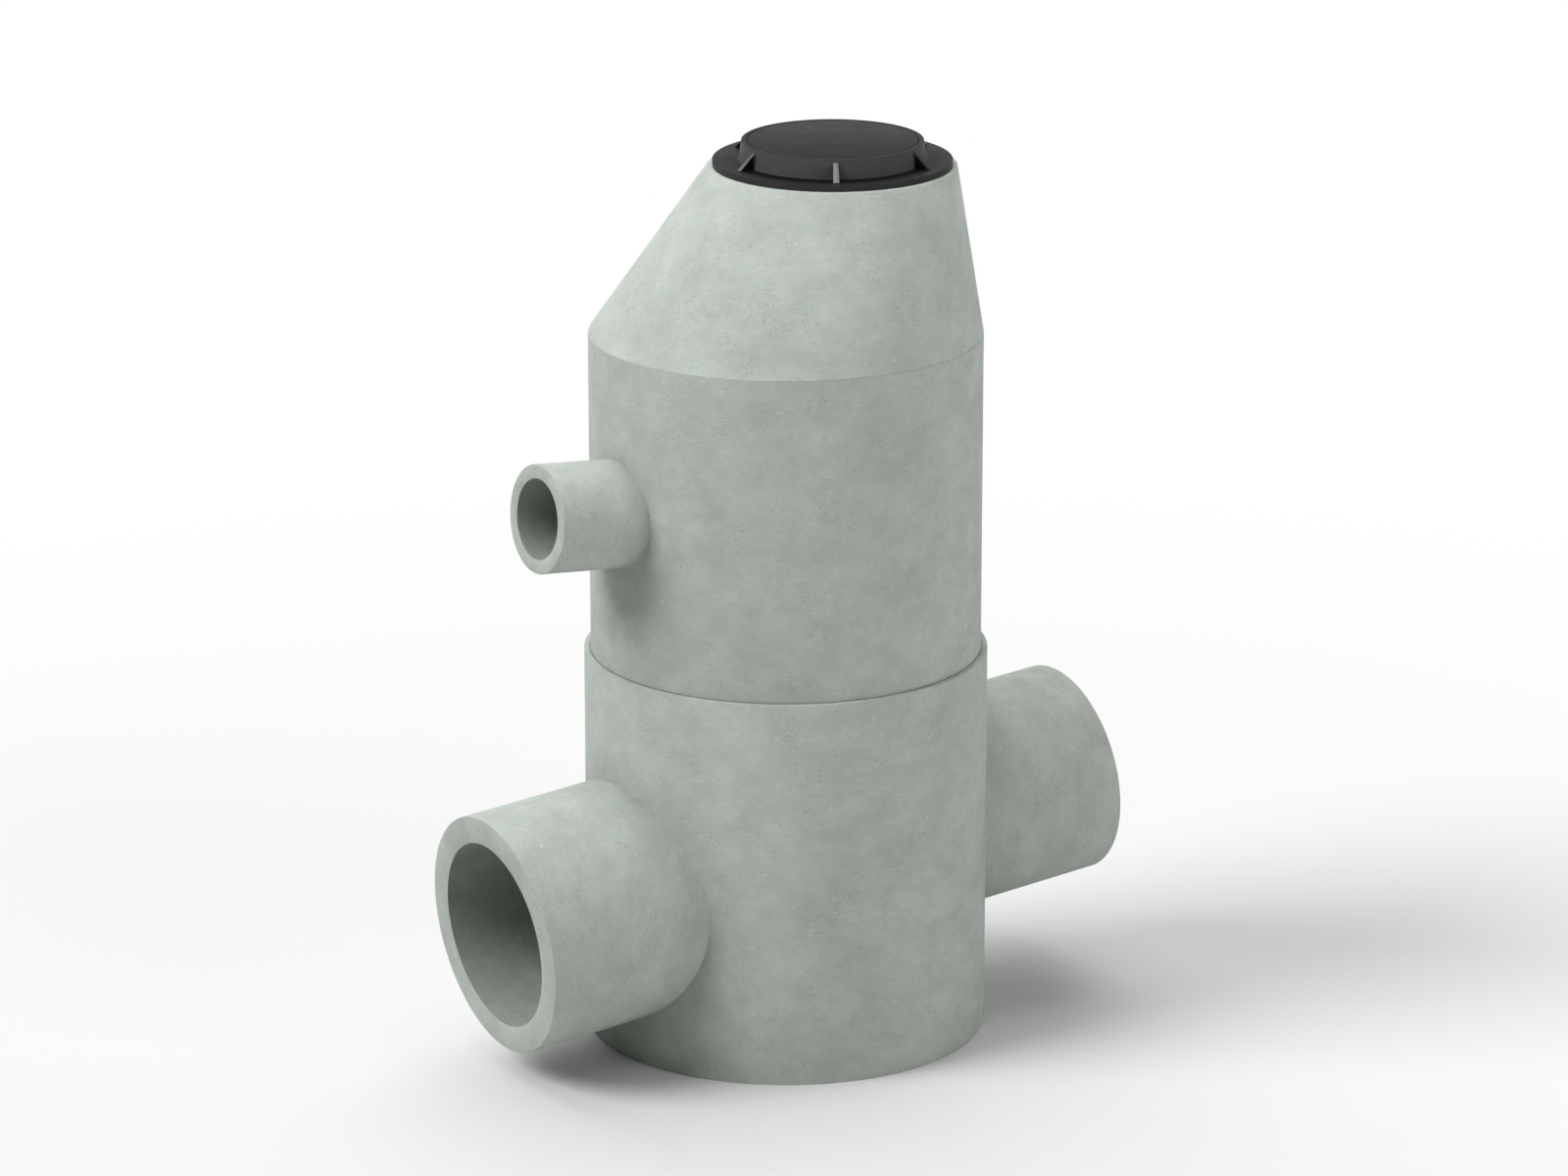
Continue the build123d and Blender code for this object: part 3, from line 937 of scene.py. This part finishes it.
def rays_seen(tree):
    """1 for rays that the camera sees straight or through glass, then for reflected ones too."""
    rays = tree.nodes.new("ShaderNodeLightPath")
    straight, through = rays.outputs["Is Camera Ray"], rays.outputs["Is Transmission Ray"]
    seen = reckoned(tree, "MAXIMUM", straight, through)
    return seen, reckoned(tree, "MAXIMUM", seen, rays.outputs["Is Glossy Ray"])


floor = bmesh.new()
bmesh.ops.create_circle(floor, cap_ends=True, segments=floor_steps, radius=floor_radius)
floor = as_object(floor, "studio_floor")
paint = bpy.data.materials.new("studio floor")
paint.use_nodes = True
paint_nodes, paint_links = paint.node_tree.nodes, paint.node_tree.links
paint_shader = paint_nodes["Principled BSDF"]
paint_shader.inputs["Roughness"].default_value = 1.0
paint_shader.inputs["Specular IOR Level"].default_value = 0.0
floor_place = paint_nodes.new("ShaderNodeTexCoord")
floor_distance = paint_nodes.new("ShaderNodeVectorMath")
floor_distance.operation = "LENGTH"
paint_links.new(floor_place.outputs["Object"], floor_distance.inputs[0])
far_off = ranged(
    paint.node_tree, floor_distance.outputs["Value"], white_from, white_at, 0, 1, True
)
floor_seen, floor_reflected = rays_seen(paint.node_tree)
paint_tone = paint_nodes.new("ShaderNodeMix")
paint_tone.data_type = "RGBA"
paint_tone.inputs["A"].default_value = (0.50, 0.50, 0.50, 1)
paint_tone.inputs["B"].default_value = (0.82, 0.82, 0.82, 1)
glow = paint_nodes.new("ShaderNodeEmission")
blend = paint_nodes.new("ShaderNodeMixShader")
white_share = reckoned(paint.node_tree, "MULTIPLY", floor_reflected, far_off)
paint_links.new(floor_seen, paint_tone.inputs["Factor"])
paint_links.new(paint_tone.outputs["Result"], paint_shader.inputs["Base Color"])
paint_links.new(white_share, blend.inputs["Fac"])
paint_links.new(paint_shader.outputs["BSDF"], blend.inputs[1])
paint_links.new(glow.outputs["Emission"], blend.inputs[2])
paint_links.new(blend.outputs["Shader"], paint_nodes["Material Output"].inputs["Surface"])
floor.data.materials.append(paint)


# Light: a big soft lamp high on the left, weaker ones overhead, on the far side and on the right,
# and one just above the floor in front on the right. Reflections show the room's white.
world = bpy.data.worlds.new("studio")
bpy.context.scene.world = world
world.use_nodes = True
sky_nodes, sky_links = world.node_tree.nodes, world.node_tree.links
dome = sky_nodes["Background"]
dome.inputs["Color"].default_value = (1, 1, 1, 1)
dome.inputs["Strength"].default_value = 0.03
backdrop = sky_nodes.new("ShaderNodeBackground")
backdrop.inputs["Color"].default_value = (1, 1, 1, 1)
backdrop.inputs["Strength"].default_value = 1.0
sky_seen = rays_seen(world.node_tree)[1]
sky_mix = sky_nodes.new("ShaderNodeMixShader")
sky_links.new(sky_seen, sky_mix.inputs["Fac"])
sky_links.new(dome.outputs["Background"], sky_mix.inputs[1])
sky_links.new(backdrop.outputs["Background"], sky_mix.inputs[2])
sky_links.new(sky_mix.outputs["Shader"], sky_nodes["World Output"].inputs["Surface"])

# name, compass angle, height over the floor, strength, and width of the lamp in degrees
for name, azimuth, elevation, energy, width in (
    ("side lamp", 168, 42, 2.1, 30),
    ("top lamp", 240, 75, 0.45, 50),
    ("far lamp", 75, 60, 1.5, 60),
    ("right lamp", 20, 45, 0.3, 60),
    ("low lamp", 292, 4, 1.45, 40),
):
    lamp = bpy.data.lights.new(name, "SUN")
    lamp.energy = energy
    lamp.angle = radians(width)
    stand = bpy.data.objects.new(name, lamp)
    towards = Vector((cos(radians(azimuth)), sin(radians(azimuth)), 0)) * cos(radians(elevation))
    towards.z = sin(radians(elevation))
    stand.rotation_euler = towards.to_track_quat("Z", "Y").to_euler()
    bpy.context.scene.collection.objects.link(stand)


# Camera: the photograph's place and lens.
camera = bpy.data.cameras.new("camera")
camera.lens = 146.66
camera.sensor_width = 36
camera.clip_end = 200
camera_stand = bpy.data.objects.new("camera", camera)
camera_stand.location = (-12.2667, -19.9651, 8.8984)
camera_stand.rotation_euler = (radians(73.01), 0, radians(-31.55))
bpy.context.scene.collection.objects.link(camera_stand)
bpy.context.scene.camera = camera_stand
bpy.context.scene.view_settings.view_transform = "Standard"
